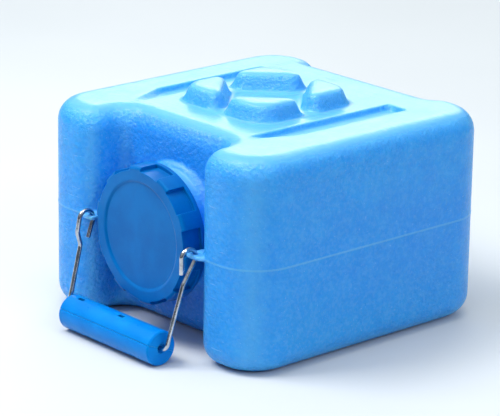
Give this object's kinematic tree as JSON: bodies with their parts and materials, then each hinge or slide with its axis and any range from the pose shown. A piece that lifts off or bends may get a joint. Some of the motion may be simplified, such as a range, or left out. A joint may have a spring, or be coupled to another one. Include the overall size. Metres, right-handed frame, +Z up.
{
  "type": "stackable jerry can",
  "caption": "Brick-shaped stackable plastic water can with a recessed screw cap on the front, stacking lugs on top and a swinging wire bail with a plastic grip.",
  "frame": {"origin": "centre of the can's square footprint, on the plane it stands on (the face of the block in the middle of the stacking socket)", "axes": "+X to the right seen from the cap side, +Y to the back (the cap faces -Y), +Z up"},
  "size_m": [0.2294, 0.2635, 0.1644],
  "materials": {
    "body_plastic": "translucent light blue polyethylene, pebbled sides and smoother top",
    "cap_plastic": "satin mid blue polyethylene",
    "gasket_rubber": "soft off-white foam seal",
    "bail_steel": "bright zinc-plated steel wire",
    "grip_plastic": "satin mid blue polyethylene"
  },
  "bodies": {
    "can": {"can_body": "body_plastic"},
    "seal": {"cap_gasket": "gasket_rubber"},
    "cap": {"screw_cap": "cap_plastic"},
    "bail": {"bail_wire": "bail_steel"},
    "grip": {"grip_upper_half": "grip_plastic", "grip_lower_half": "grip_plastic"}
  },
  "joints": [
    {"name": "bail_swing", "type": "hinge", "parent": "can", "child": "bail", "pos_m": [0, -0.1182, 0.0754], "axis": [-1, 0, 0], "range_deg": [0, 157]},
    {"name": "grip_spin", "type": "hinge", "parent": "bail", "child": "grip", "pos_m": [0, -0.1363, 0.01255], "axis": [1, 0, 0], "continuous": true},
    {"name": "cap_slide", "type": "slide", "parent": "can", "child": "seal", "axis": [0, -1, 0], "range_m": [0, 0.045]},
    {"name": "cap_turn", "type": "hinge", "parent": "seal", "child": "cap", "pos_m": [0, -0.105, 0.0762], "axis": [0, -1, 0], "range_deg": [0, 2700]}
  ],
  "couplings": [
    {"joint": "cap_turn", "follows": "cap_slide", "rad_per_m": 1047.2}
  ]
}
